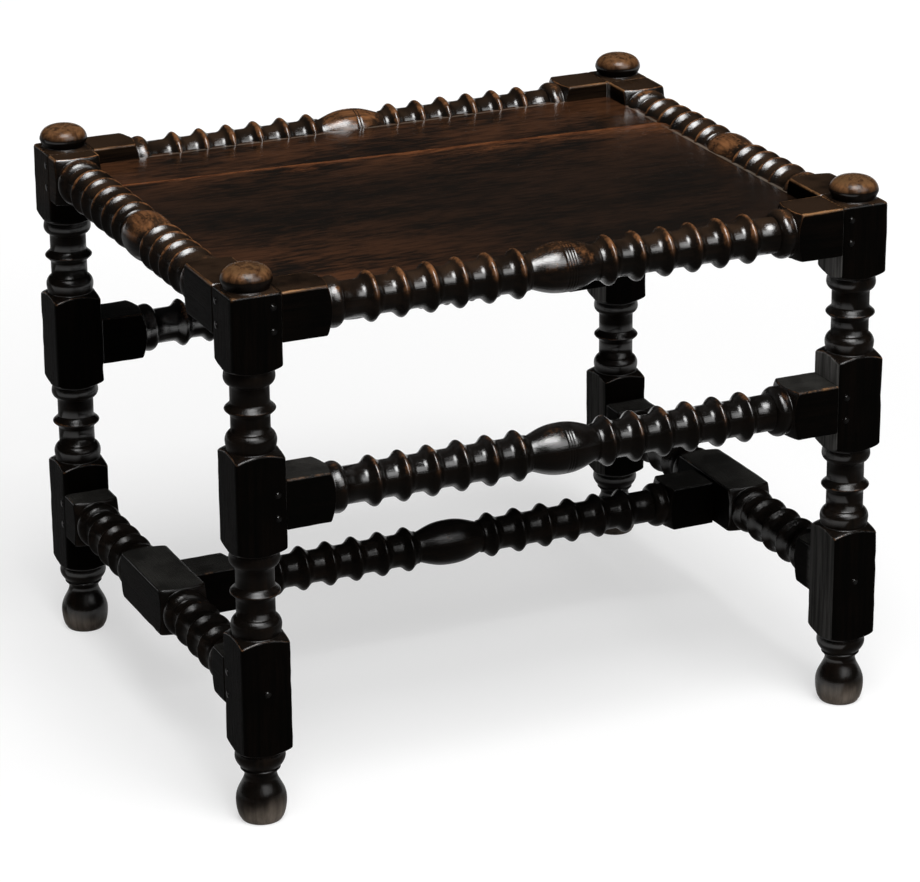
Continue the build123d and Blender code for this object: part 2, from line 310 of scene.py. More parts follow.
def dustAndSheenMask(spot, effect):  # dust and a painted grey sheen on the upward faces of the low ledges
    ledge = spot.upward.between(0.7, 0.97) * spot.z.between(*effect["height"])
    return ledge * (spot.cloud * 0.6 + 0.35)


def scratchesAndSheenMask(spot, effect):  # faces of the legs turned to the middle: raw scratches with a painted grey reflection of the floor, stronger higher up and towards the back
    away = spot.facing[0] * spot.x.calc("SIGN")
    scratchedSheen = away.between(-0.7, -0.95) * (spot.streak * 0.75 + 0.25)
    higher = spot.z.between(0.14, 0.3, 0.3, 1.0) * spot.y.between(-0.1, 0.15, 0.6, 1.0)
    return scratchedSheen * higher * abs(spot.y).between(*effect["depth"])


def rimMask(spot, effect):  # a pale line on the boards where they run under the rails
    rimX, rimY = (abs(place) - at for place, at in zip(spot.here, effect["at"]))
    line = abs(rimX.atLeast(rimY)).between(*effect["width"])
    return line * (spot.cloud * 0.6 + 0.3)


def warmMask(spot, effect):  # redder beside the joint, in the front left corner and all over the back
    mottle = spot.cloud * 0.55 + spot.streak * 0.55
    return surfaceAttribute(spot.tree, "warm") * mottle.between(0.1, 0.95)


def fadedMask(spot, effect):  # the blocks round the back of the seat are paler
    back = spot.y.between(*effect["depth"]) * spot.z.between(*effect["height"])
    return back * (spot.streak * 0.85 + 0.12) * spot.upward.between(0.3, 0.9, 0.4, 1.0)


def capHere(spot, effect):  # the buttons' domes
    return spot.z.between(*effect["height"]) * spot.upward.between(0.5, 0.95)


def capMask(spot, effect):  # the buttons are rubbed to an even brown, and more so at the front
    return capHere(spot, effect) * spot.y.between(0.1, -0.1, 0.4, 1.0) * (spot.streak * 0.95 + 0.02)


def dustMask(spot, effect):  # the soles are rubbed pale by the floor
    ragged = spot.cloud * 0.009 + spot.z
    return ragged.between(effect["top"], effect["top"] - effect["fade"]) * (spot.streak * 0.45 + 0.45)


underWear = {"handled": handledMask, "dustAndSheen": dustAndSheenMask, "inside": scratchesAndSheenMask, "rim": rimMask,
             "warm": warmMask, "faded": fadedMask}
overWear = {"cap": capMask, "dust": dustMask}


def addEffects(spot, finish, colour, masks):
    for key, mask in masks.items():
        if key in finish:
            colour = mixColours(spot.tree, mask(spot, finish[key]), colour, finish[key]["colour"])
    return colour


def woodColour(spot, finish):
    figure = spot.streak * (spot.cloud * 0.85 + 0.15)
    if "even" in finish:  # a closer figure, with less between its dark and its brown
        even = finish["even"]
        figure = figure * (1 - even) + (spot.pores * (even * 0.6) + even * 0.4)
    colour = mixColours(spot.tree, figure, finish["dark"], finish["brown"])
    colour = addEffects(spot, finish, colour, underWear)
    bare = mixColours(spot.tree, spot.streak, finish["wornDark"], finish["wornPale"])
    colour = mixColours(spot.tree, spot.wear, colour, bare)
    return addEffects(spot, finish, colour, overWear)


def woodGloss(spot, finish):
    if "domed" in finish:  # peg heads catch the light on their upper edge
        upper = splitVector(spot.tree, surfaceAttribute(spot.tree, "head", "Vector"))[2]
        return (spot.cloud * 0.3 + upper).between(0.2, 0.6, 0.0, 0.4)
    inward = 0.0
    if "inner" in finish:  # the rails' sides that face the seat are waxed lower down
        sides = [facing.between(-0.2, -0.5) * place.between(at, at + 0.003)
                 for facing, place, at in zip(spot.facing, spot.here, finish["inner"])]
        inward = sides[0].atLeast(sides[1])
    gloss = placeGroup(spot.tree, handPolish, {
        "Normal": spot.normal, "Cloud": spot.cloud, "Low": finish["polishLow"], "High": finish["polishHigh"],
        "Inward": inward})[0]
    return gloss.atLeast(capHere(spot, finish["cap"]) ** 2.0) if "cap" in finish else gloss


def woodRelief(spot, finish):
    relief = spot.pores * 0.5 + spot.streak * 0.5
    if "domed" in finish:  # peg heads are rounded over
        fromMiddle = vectorLength(spot.tree, surfaceAttribute(spot.tree, "head", "Vector"))
        relief = relief + fromMiddle ** 2.0 * (-finish["domed"] / finish["grainDepth"])
    return relief


def makeWood(name, finish):
    material = bpy.data.materials.new(name)
    material.use_nodes = True
    tree = material.node_tree
    shader = tree.nodes["Principled BSDF"]
    spot = Spot(tree, finish)
    rough = spot.wear * (finish["roughWorn"] - finish["roughDull"]) + finish["roughDull"]
    bump = nodeValue(tree, "ShaderNodeBump", "Normal", {
        "Strength": 1.0, "Distance": finish["grainDepth"], "Height": woodRelief(spot, finish)})
    for key, value in {
        "Base Color": woodColour(spot, finish), "Roughness": spot.pores * -0.08 + rough,
        "Specular IOR Level": finish["specular"], "Coat Weight": woodGloss(spot, finish),
        "Coat Roughness": finish["coatRoughness"], "Coat IOR": finish["coatIor"],
        "Normal": bump, "Coat Normal": bump,
    }.items():
        connect(tree, value, shader.inputs[key])
    return material


turnedWood = makeWood("turnedWood", turnedFinish)
stretcherWood = makeWood("stretcherWood", stretcherFinish)
legWood = makeWood("legWood", legFinish)
blockWood = makeWood("blockWood", blockFinish)
seatWood = makeWood("seatWood", seatFinish)
pegWood = makeWood("pegWood", pegFinish)
print("wood materials made")


# turned members: a profile is spun, and kept square where it is wider than the bar

turning = {
    "steps": 96, "bunching": 1.6,  # round the bar, closer together near its four arrises
    "chips": (95.0, 3.0, 0.6), "dulling": (-1.5, 1.6), "leastSharp": 0.35,  # how unevenly arrises are kept
    "waves": (34.0, 2.0), "levelWave": 0.62,  # how the whole surface wanders
    "noiseRadius": 0.019, "axisRadius": 0.002,
    "softFrom": (0.0192, 0.0206, 0.15, 1.0),  # shoulders are softer than rings
    "wornArris": (1.29, 1.368), "wornLip": 0.0016, "blockFrom": -0.0003, "merge": 0.00002,
}


def makeTurningTree():
    tree, given = newGroup("turnedMember", "GeometryNodeTree", {
        "Profile": "Geometry", "Half Square": 0.0195, "Arris Sharpness": 34.0, "Edge Softness": 0.0006,
        "Unevenness": 0.0003, "Wear": 1.0, "Seed": 0.0, "Turned Wood": "Material", "Block Wood": "Material",
    }, {"Member": "Geometry"})
    steps = turning["steps"]
    rows = given["Profile"].through("GeometryNodeAttributeDomainSize", component="MESH")
    grid = nodeValue(tree, "GeometryNodeMeshGrid", "Mesh", {"Vertices X": rows, "Vertices Y": steps + 1})
    index = nodeValue(tree, "GeometryNodeInputIndex", 0)
    row = ((index + 0.5) / (steps + 1.0)).calc("FLOOR")
    step = index - row * (steps + 1.0)

    def sampled(value, kind="FLOAT"):
        return nodeValue(tree, "GeometryNodeSampleIndex", "Value", {
            "Geometry": given["Profile"], "Value": value, "Index": row}, data_type=kind, domain="POINT")

    position = nodeValue(tree, "GeometryNodeInputPosition", 0)
    point = splitVector(tree, sampled(position, "FLOAT_VECTOR"))
    radius, level = point[0], point[2]
    crest = sampled(meshAttribute(tree, "crest"))
    inset = sampled(meshAttribute(tree, "inset"))

    quarter = step / (steps / 4.0)
    whole = quarter.calc("FLOOR")
    fromArris = (quarter - whole) * 2.0 - 1.0
    bent = fromArris.calc("SIGN") * abs(fromArris) ** turning["bunching"]
    angle = (whole + (bent * 0.5 + 0.5)) * (math.pi / 2)
    cosine, sine = angle.calc("COSINE"), angle.calc("SINE")

    # the square: a superellipse, whose corners are a little rounder where they are worn
    seedShift = joinVector(tree, given["Seed"], given["Seed"] * 0.7, 0.0)
    ringPlace = joinVector(tree, cosine * turning["noiseRadius"], sine * turning["noiseRadius"], level)
    place = vectorCalc(tree, "ADD", ringPlace, seedShift)
    dulled = noise(tree, place, *turning["chips"]) * turning["dulling"][0] + turning["dulling"][1]
    sharpness = given["Arris Sharpness"] * dulled.atLeast(turning["leastSharp"])
    sumOfPowers = abs(cosine) ** sharpness + abs(sine) ** sharpness
    half = given["Half Square"] - inset
    square = half * sumOfPowers ** calc(tree, "DIVIDE", -1.0, sharpness)

    lip = square - radius
    blunt = given["Edge Softness"] * radius.between(*turning["softFrom"])
    wander = (noise(tree, place, *turning["waves"]) - turning["levelWave"]) * given["Unevenness"]
    outside = radius.calc("GREATER_THAN", turning["axisRadius"])  # the middles of the end faces stay put
    distance = radius.calc("SMOOTH_MIN", square, blunt) + wander * outside
    placed = joinVector(tree, distance * cosine, distance * sine, level)

    # wear: on crests, along arrises and round the shoulders' edges
    isBlock = lip.calc("LESS_THAN", turning["blockFrom"])
    corner = (square / half).between(*turning["wornArris"]) * isBlock
    edge = abs(lip).between(turning["wornLip"], 0.0).atLeast(corner) * (1.0 - crest)
    worn = edge.atLeast(crest) * given["Wear"]

    flow = grid.through("GeometryNodeSetPosition", {"Position": placed})
    flow = storeAttributes(flow, {
        "memberCoord": ("FLOAT_VECTOR", vectorCalc(tree, "ADD", placed, seedShift)),
        "worn": ("FLOAT", worn), "isBlock": ("FLOAT", isBlock)})
    flow = flow.through("GeometryNodeMergeByDistance", {"Distance": turning["merge"]})
    flow = flow.through("GeometryNodeSetShadeSmooth").through("GeometryNodeRealizeInstances")
    flow = flow.through("GeometryNodeSetMaterial", {"Material": given["Turned Wood"]})
    flat = nodeValue(tree, "FunctionNodeCompare", 0, {0: meshAttribute(tree, "isBlock"), 1: 0.5},
                     data_type="FLOAT", operation="GREATER_THAN")
    flow = flow.through("GeometryNodeSetMaterial", {"Selection": flat, "Material": given["Block Wood"]})
    return closeGroup(tree, {"Member": flow})


turningTree = makeTurningTree()


def treeToMesh(start, tree, values):  # the modifier's result as a plain mesh that faces outwards
    bpy.context.scene.collection.objects.link(start)
    modifier = start.modifiers.new(tree.name, "NODES")
    modifier.node_group = tree
    for item in tree.interface.items_tree:
        if item.item_type == "SOCKET" and item.in_out == "INPUT" and item.name in values:
            modifier[item.identifier] = values[item.name]
    start.update_tag()
    graph = bpy.context.evaluated_depsgraph_get()
    mesh = bpy.data.meshes.new_from_object(start.evaluated_get(graph), depsgraph=graph)
    start.modifiers.remove(modifier)
    bpy.data.objects.remove(start)
    work = bmesh.new()
    work.from_mesh(mesh)
    bmesh.ops.dissolve_degenerate(work, dist=0.000005, edges=work.edges)
    bmesh.ops.recalc_face_normals(work, faces=work.faces)
    work.to_mesh(mesh)
    work.free()
    return mesh


class Profile:  # points along a turning, from its low end to its high end
    def __init__(self, cut, seed):
        self.cut = cut
        self.points = []
        self.chance = random.Random(seed)

    def add(self, radius, level, crest=0.0, inset=0.0):
        self.points.append((radius, level, crest, inset))

    def span(self, low, high, count, shape, wear=lambda share: 0.0):
        for i in range(count + 1):
            share = i / count
            self.add(shape(share), low + (high - low) * share, wear(share))

    def block(self, low, high):
        self.span(low, high, max(2, int((high - low) / 7)), lambda share: self.cut["corner"])

    def shoulder(self, low, high, rising):
        corner, valley = self.cut["corner"], self.cut["valley"]
        up = (lambda share: share) if rising else (lambda share: 1 - share)
        self.span(low, high, 16, lambda share: valley + (corner - valley) * up(share) ** 0.8)

    def flare(self, share):  # 1 on the thin crest of a ring, then a hollow flank down to its foot
        tip = self.cut["tip"]
        down = (math.hypot(share, tip) - tip) / (math.hypot(1, tip) - tip)
        return max(0.0, 1 - down) ** self.cut["hollow"]

    def collar(self, low, high, rising):  # half round against a shoulder; rising leads up to a block
        neck, crest, valley = self.cut["neck"], self.cut["crest"], self.cut["valley"]

        def shape(share):
            if share < 0.5:
                return valley + (crest - valley) * math.sin(math.pi * share)
            return neck + (crest - neck) * max(0.0, 1 - (2 * share - 1) ** 2) ** 0.7

        shares = [i / 16 for i in range(8)] + [0.5 + 0.5 * math.sin(math.pi * i / 28) for i in range(15)]
        for share in reversed(shares) if rising else shares:
            radius = shape(share)
            level = high - (high - low) * share if rising else low + (high - low) * share
            self.add(radius, level, max(0.0, (radius - neck) / (crest - neck)) ** 3 * self.cut["collarWear"])

    def ring(self, middle, half):
        neck = self.cut["neck"]
        crest = self.cut["crest"] - self.chance.uniform(0, self.cut["uneven"])
        middle += self.chance.uniform(-1, 1) * self.cut["uneven"]
        for i in range(27):
            share = math.copysign(abs(i / 13 - 1) ** 1.6, i - 13)
            line = max(0.0, 1 - abs(share) * self.cut["crestLine"])
            self.add(neck + (crest - neck) * self.flare(share), middle + half * share, line ** 0.5)

    def barrel(self, middle, half, scribes):
        neck, crest = self.cut["neck"] + self.cut["barrelStep"], self.cut["crest"]
        levels = [middle - half * math.cos(math.pi * i / 40) for i in range(41)]
        outer, inner, deep, room = self.cut["scribe"]
        marks = {}
        for line in scribes:
            for offset, depth in ((-outer, 0.0), (-inner, deep), (inner, deep), (outer, 0.0)):
                marks[middle + line + offset] = depth
        levels = [z for z in levels if all(abs(z - mark) > room for mark in marks)]
        for z in sorted(levels + list(marks)):
            share = abs((z - middle) / half)
            depth = marks.get(z, 0.0)
            radius = neck + (crest - neck) * max(0.0, 1 - share ** 2.4) ** 1.5 - depth
            worn = self.cut["barrelWear"] * max(0.0, 1 - share ** 2) ** 0.5
            self.add(radius, z, self.cut["scribeWear"] if depth else worn)


def memberMesh(profile, half, seed, cut, wood):
    mesh = bpy.data.meshes.new("profile")
    radii, levels, crests, insets = zip(*profile.points)
    mesh.from_pydata([(r * mm, 0.0, z * mm) for r, z in zip(radii, levels)],
                     [(i, i + 1) for i in range(len(radii) - 1)], [])
    for name, values in (("crest", crests), ("inset", [inset * mm for inset in insets])):
        mesh.attributes.new(name, "FLOAT", "POINT").data.foreach_set("value", values)
    return treeToMesh(bpy.data.objects.new("profile", mesh), turningTree, {
        "Half Square": half * mm, "Arris Sharpness": cut["sharpness"], "Edge Softness": cut["softness"] * mm,
        "Unevenness": cut["unevenness"] * mm, "Wear": cut["wear"], "Seed": float(seed),
        "Turned Wood": wood, "Block Wood": blockWood})


def finishPiece(mesh, name, nodes):
    mesh.name = name
    piece = bpy.data.objects.new(name, mesh)
    bpy.context.scene.collection.objects.link(piece)
    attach(piece, "root")
    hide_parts(*nodes)


def boxMiddle(node):
    low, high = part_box(node)
    return (low + high) / 2


# legs

legs = {
    "square": 39, "corner": 28.6, "crest": 18.9, "neck": 14.5, "valley": 17.6, "hollow": 1.65, "tip": 0.24,
    "uneven": 0.2, "crestLine": 3.6, "shoulder": 5, "collarOver": 14, "collarUnder": 12, "ringHalf": 5.6,
    "lowBlock": (56.5, 149), "middleBlock": (214, 292), "topBlock": (353, 412),
    "sole": 15.6, "ball": 19, "ballLevel": 15.5, "ankle": 12.0, "ankleLevel": 36.5, "lip": 15.0,
    "lipLevel": 41.5, "button": 18.9, "buttonBase": 17.0, "buttonEdge": 419.0, "top": 429.9,
    "sharpness": 20.0, "softness": 4.5, "unevenness": 0.55, "wear": 0.85, "collarWear": 0.55, "edgeRoom": 3.0,
    # the top block's rounded edge: how far in, how far down and how worn
    "topEdge": ((0.0, 2.6, 0.0), (0.15, 1.45, 0.3), (0.5, 0.6, 0.7), (1.15, 0.12, 0.7), (2.0, 0.0, 0.2)),
    "topFace": (26.5, 25, 23.5, 22, 20.8, 19.8, 19.0, 18.4),  # circles from the edge in to the button
    # the button's foot: how far out, how far up and how worn
    "buttonFoot": ((0.9, 0.15, 0.2), (0.5, 0.6, 0.5), (-0.2, 1.0, 0.2), (-0.6, 1.6, 0.0)),
}


def footPoints(profile):
    sole, ball, ankle, lip = (legs[key] for key in ("sole", "ball", "ankle", "lip"))
    ballLevel, ankleLevel, lipLevel = (legs[key] for key in ("ballLevel", "ankleLevel", "lipLevel"))
    edge, low = sole + 0.5, 2.2  # where the side starts
    for radius, level in ((0, 0), (6, 0), (11, 0), (sole - 1.6, 0.05), (sole - 0.6, 0.35), (sole, 1.0),
                          (edge, low)):
        profile.add(radius, level)
    for i in range(1, 15):  # sole to the widest place
        share = i / 14
        radius = edge + (ball - edge) * math.sin(share * math.pi / 2) ** 0.62
        profile.add(radius, low + (ballLevel - low) * share)
    for i in range(1, 25):  # up the shoulder of the ball to the ankle
        share = i / 24
        radius = ankle + (ball - ankle) * (0.5 + 0.5 * math.cos(math.pi * share ** 1.15)) ** 0.85
        profile.add(radius, ballLevel + (ankleLevel - ballLevel) * share)
    for i in range(1, 7):  # cove up to the lip
        share = i / 6
        radius = ankle + (lip - ankle) * (1 - math.cos(share * math.pi / 2))
        profile.add(radius, ankleLevel + (lipLevel - ankleLevel) * share, 0.3 * share)
    profile.add(lip - 0.1, lipLevel + 0.5, 0.4)
    profile.add(lip - 0.9, lipLevel + 0.9)
    crest, valley, turn = legs["crest"], legs["valley"], 0.62  # the half round under the block

    def halfRound(share):
        if share < turn:
            return lip - 0.9 + (crest - lip + 0.9) * math.sin(share / turn * math.pi / 2) ** 0.85
        return valley + (crest - valley) * math.cos((share - turn) / (1 - turn) * math.pi / 2)

    profile.span(lipLevel + 1.2, legs["lowBlock"][0], 16, halfRound, lambda share: 0.3 * share)


def buttonPoints(profile):
    base = legs["topBlock"][1]
    low, wide, edge = legs["buttonBase"], legs["button"], legs["buttonEdge"]
    for inset, drop, crest in legs["topEdge"]:
        profile.add(legs["corner"], base - drop, crest, inset)
    for radius in legs["topFace"]:
        profile.add(radius, base, 0.0, inset)
    for out, up, crest in legs["buttonFoot"]:
        profile.add(low + out, base + up, crest)
    for i in range(1, 7):  # the side leans out to the edge of the dome
        share = i / 6
        profile.add(low + out + (wide - low - out) * share ** 0.75, base + up + (edge - base - up) * share)
    for i in range(1, 27):  # dome, fullest near its edge
        angle = i / 26 * math.pi / 2
        radius = wide * max(0.0, math.cos(angle)) ** 0.62 if i < 26 else 0.0
        level = edge + (legs["top"] - edge) * math.sin(angle) ** 1.05
        profile.add(radius, level, min(1.35, max(0.0, i / 2 - 0.6)))


def makeLeg(node, seed):
    profile = Profile(legs, seed)
    shoulder, over, under = legs["shoulder"], legs["collarOver"], legs["collarUnder"]
    footPoints(profile)
    blocks = (legs["lowBlock"], legs["middleBlock"], legs["topBlock"])
    for (low, high), following in zip(blocks, blocks[1:]):
        nextLow = following[0]
        profile.shoulder(low + 0.01, low + shoulder, True)
        profile.block(low + shoulder + 0.5, high - shoulder - 0.5)
        profile.shoulder(high - shoulder, high - 0.01, False)
        profile.collar(high, high + over, False)
        profile.ring((high + over / 2 + nextLow - under / 2) / 2, legs["ringHalf"])
        profile.collar(nextLow - under, nextLow, True)
    topLow, topHigh = legs["topBlock"]
    profile.shoulder(topLow + 0.01, topLow + shoulder, True)
    profile.block(topLow + shoulder + 0.5, topHigh - legs["edgeRoom"])
    buttonPoints(profile)
    mesh = memberMesh(profile, legs["square"] / 2, seed, legs, legWood)
    middle = boxMiddle(node)
    mesh.transform(Matrix.Translation((middle.x, middle.y, 0)))
    finishPiece(mesh, node + "_look", [node])


for seed, node in enumerate(("leg_front_left", "leg_front_right", "leg_back_left", "leg_back_right"), 1):
    makeLeg(node, seed)
print("legs turned")


# rails and stretchers

longMembers = {
    "corner": 28.6, "crest": 19.0, "neck": 14.3, "valley": 17.4, "hollow": 2.3, "tip": 0.28, "uneven": 0.2,
    "barrelStep": -1.0, "crestLine": 2.6, "shoulder": 5, "collar": 12, "collarMiddle": 181.7,
    "firstRing": 36.5, "rings": 6, "ringHalf": 8.8, "barrelHalf": 27.5, "barrelWear": 0.86, "lastGap": 1.25,
    "sharpness": 25.0, "softness": 4.0, "unevenness": 0.5, "collarWear": 0.55, "endRow": 12.0, "endGap": 0.2,
    "underSquare": 0.03, "neckShare": 0.366, "valleyUnder": 1.6,  # how a bar's square sets its turning
    # a scribed line: half its width, half its floor, its depth, the room it needs and how worn
    "scribe": (0.55, 0.2, 0.32, 0.5), "scribeWear": 0.1,
}
shortMembers = dict(longMembers, crestLine=3.4, firstRing=31.5, ringHalf=8.0, barrelHalf=23.5)
lowMembers = dict(longMembers, farBlock=152.5, nearBlock=46, rings=3, ringHalf=8.2)
topRails = {
    "square": 38, "wear": 1.0, "scribesFront": (-1.6, 0.7, 3.0, 5.3), "scribesBack": (2.5, 5),
    "leftInsets": (63, 23), "leftShift": 2.5, "rightInsets": (57, 37), "rightShift": -5,
    "frontRings": 4, "backRings": 5, "darkBarrelWear": 0.58,  # all long barrels but the back rail's
}
stretchers = {
    "middleSquare": 39, "lowSquare": 38, "centreSquare": 36, "middleWear": 0.62, "lowWear": 0.4,
    "centreShift": -4, "scribesFront": (-0.2, 2.0, 4.2),
}

legBackRight = boxMiddle("leg_back_right")
innerX = legBackRight.x / mm - legs["square"] / 2
innerY = legBackRight.y / mm - legs["square"] / 2


def blockToCollar(profile, start, level):
    shoulder = profile.cut["shoulder"]
    profile.block(start, level - shoulder - 0.5)
    profile.shoulder(level - shoulder, level - 0.01, False)
    profile.collar(level, level + profile.cut["collar"], False)


def collarToBlock(profile, level, end):
    shoulder = profile.cut["shoulder"]
    profile.collar(level - profile.cut["collar"], level, True)
    profile.shoulder(level + 0.01, level + shoulder, True)
    profile.block(level + shoulder + 0.5, end)


# both ends of a member, and what middlePart adds between them
def memberProfile(cut, half, firstLevel, lastLevel, middlePart, seed):
    profile = Profile(cut, seed)
    endFace = (0.0, cut["endRow"], cut["corner"])
    for radius in endFace:
        profile.add(radius, -half)
    blockToCollar(profile, -half + cut["endGap"], firstLevel)
    middlePart(profile)
    collarToBlock(profile, lastLevel, half - cut["endGap"])
    for radius in reversed(endFace):
        profile.add(radius, half)
    return profile


def barrelProfile(cut, half, collars, counts, shift, scribes, seed):
    rows = []
    for side, collar, count in zip((-1, 1), collars, counts):
        first = shift + side * cut["firstRing"]
        pitch = (collar - first) / (count - 1 + cut["lastGap"])
        rows.append([first + pitch * i for i in range(count)])

    def middlePart(profile):
        for level in reversed(rows[0]):
            profile.ring(level, cut["ringHalf"])
        profile.barrel(shift, cut["barrelHalf"], scribes)
        for level in rows[1]:
            profile.ring(level, cut["ringHalf"])

    outer = cut["collar"] / 2
    return memberProfile(cut, half, collars[0] - outer, collars[1] + outer, middlePart, seed)


def lowProfile(cut, half, seed):
    near, far, width = cut["nearBlock"], cut["farBlock"], cut["collar"]
    pitch = (far - near - width) / (cut["rings"] + 1)
    rings = [near + width / 2 + pitch * (i + 1) for i in range(cut["rings"])]

    def middlePart(profile):
        for level in reversed(rings):
            profile.ring(-level, cut["ringHalf"])
        collarToBlock(profile, -near, 0.0)
        blockToCollar(profile, 1.0, near)
        for level in rings:
            profile.ring(level, cut["ringHalf"])

    return memberProfile(cut, half, -far, far, middlePart, seed)


woodFrom = ((0.35, turnedWood), (0.2, stretcherWood), (0.0, legWood))  # duller lower down


def layMember(profile, node, square, direction, place, seed, wear):
    wood = next(wood for lowest, wood in woodFrom if place[2] > lowest)
    mesh = memberMesh(profile, square / 2, seed, dict(profile.cut, wear=wear), wood)
    turn = (math.pi / 2, 4, "Y") if direction == "x" else (-math.pi / 2, 4, "X")
    mesh.transform(Matrix.Translation(place) @ Matrix.Rotation(*turn))
    finishPiece(mesh, node + "_look", [node])


def longPiece(node, square, half, shift, scribes, seed, wear):
    middle = boxMiddle(node)
    cut = dict(longMembers, neck=square * longMembers["neckShare"],
               crest=square / 2 - longMembers["underSquare"], valley=square / 2 - longMembers["valleyUnder"])
    if node != "seat_rail_back":
        cut["barrelWear"] = topRails["darkBarrelWear"]
    collars = (-cut["collarMiddle"], cut["collarMiddle"])
    profile = barrelProfile(cut, half, collars, (cut["rings"], cut["rings"]), shift, scribes, seed)
    layMember(profile, node, square, "x", (0, middle.y, middle.z), seed, wear)


def shortPiece(node, insets, shift, seed):
    middle = boxMiddle(node)
    collars = (insets[0] - innerY, innerY - insets[1])
    counts = (topRails["frontRings"], topRails["backRings"])
    profile = barrelProfile(shortMembers, innerY, collars, counts, shift, (), seed)
    layMember(profile, node, topRails["square"], "y", (middle.x, 0, middle.z), seed, topRails["wear"])


for seed, side in ((11, "front"), (12, "back")):
    scribes = topRails["scribes" + side.capitalize()]
    longPiece("seat_rail_" + side, topRails["square"], innerX, 0, scribes, seed, topRails["wear"])
for seed, side in ((13, "left"), (14, "right")):
    shortPiece("seat_rail_" + side, topRails[side + "Insets"], topRails[side + "Shift"], seed)
for seed, side in ((15, "front"), (16, "back")):
    longPiece("middle_stretcher_" + side, stretchers["middleSquare"], innerX, 0, stretchers["scribesFront"],
              seed, stretchers["middleWear"])
for seed, side in ((17, "left"), (18, "right")):
    node = "low_stretcher_" + side
    middle = boxMiddle(node)
    layMember(lowProfile(lowMembers, innerY, seed), node, stretchers["lowSquare"], "y",
              (middle.x, 0, middle.z), seed, stretchers["lowWear"])
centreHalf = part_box("low_stretcher_right")[0].x / mm
longPiece("centre_stretcher", stretchers["centreSquare"], centreHalf, stretchers["centreShift"], (), 19,
          stretchers["lowWear"])
print("rails and stretchers turned")


# seat boards

seat = {
    "seatTop": 399.5, "thickness": 10, "edgeX": 234.9, "edgeY": 186.9, "notchX": 225.1, "notchY": 177.1,
    "jointLeft": 118.5, "jointRight": 88.0, "jointHalfWidth": 264.5, "gap": 0.15, "wave": 0.35,
    "columns": 120, "frontRows": 80, "backRows": 26, "stretch": 0.4, "sharpAngle": 40,
    "jointEdge": ((0.0, 0.3), (0.25, 0.1), (0.7, 0.02), (1.6, 0.0)),  # from the joint, and the drop there
    "line": (2.4, 1.4), "glow": (0.7, 26), "backGlow": 0.12,  # worn beside the joint
    "alongFrom": -160, "alongReach": 220,  # the wear beside the joint grows to the right
    "warmCorner": (-200, -170, 130, 110), "warmJoint": (1.2, 28), "backWarm": 0.6, "rimWidth": 12,
}


def jointAt(x):
    share = (x + seat["jointHalfWidth"]) / (2 * seat["jointHalfWidth"])
    return seat["jointLeft"] + share * (seat["jointRight"] - seat["jointLeft"])


def topLevel(x, y, seed):  # a little uneven, and flat towards the rails
    inside = 1.0
    for place, notch in ((x, seat["notchX"]), (y, seat["notchY"])):
        inside *= min(1.0, max(0.0, (notch - abs(place)) / seat["rimWidth"]))
    wave = math.sin(x * 0.021 + seed) * math.cos(y * 0.034 + seed * 2) * 0.6
    wave += math.sin(y * 0.06 + x * 0.009 + seed) * 0.4
    return seat["seatTop"] - seat["wave"] * (0.5 + 0.5 * wave) * inside


def boardRows(x, front):  # places across the board in front of or behind the joint, and the drop at each
    side, count = (-1, seat["frontRows"]) if front else (1, seat["backRows"])
    start, stop = jointAt(x) + side * seat["gap"], side * seat["notchY"]
    rows = [(start + side * back, drop) for back, drop in seat["jointEdge"]]
    rows += [(start + (stop - start) * i / count, 0.0) for i in range(1, count + 1)]
    rows.append((side * seat["edgeY"], 0.0))
    return rows[::side]  # from front to back


def boardMesh(name, front, seed):
    inner = [seat["notchX"] * (2 * i / seat["columns"] - 1) for i in range(seat["columns"] + 1)]
    columns = [-seat["edgeX"]] + inner + [seat["edgeX"]]
    work = bmesh.new()
    grid = []
    for x in columns:
        grid.append([work.verts.new((x * mm, y * mm, (topLevel(x, y, seed) - drop) * mm))
                     for y, drop in boardRows(x, front)])
    faces = []
    for i, (column, following) in enumerate(zip(grid, grid[1:])):
        atEnd = abs(columns[i] + columns[i + 1]) / 2 > seat["notchX"]
        for j in range(len(column) - 1):
            middleY = (column[j].co.y + column[j + 1].co.y) / 2 / mm
            if not (atEnd and abs(middleY) > seat["notchY"]):  # the corners are notched round the legs
                faces.append(work.faces.new((column[j], following[j], following[j + 1], column[j + 1])))
    made = bmesh.ops.extrude_face_region(work, geom=faces)
    for vertex in (v for v in made["geom"] if isinstance(v, bmesh.types.BMVert)):
        vertex.co.z = (seat["seatTop"] - seat["thickness"]) * mm
    bmesh.ops.delete(work, geom=[v for v in work.verts if not v.link_faces], context="VERTS")
    bmesh.ops.recalc_face_normals(work, faces=work.faces)
    for face in work.faces:
        face.smooth = True
    mesh = bpy.data.meshes.new(name)
    work.to_mesh(mesh)
    work.free()
    return mesh


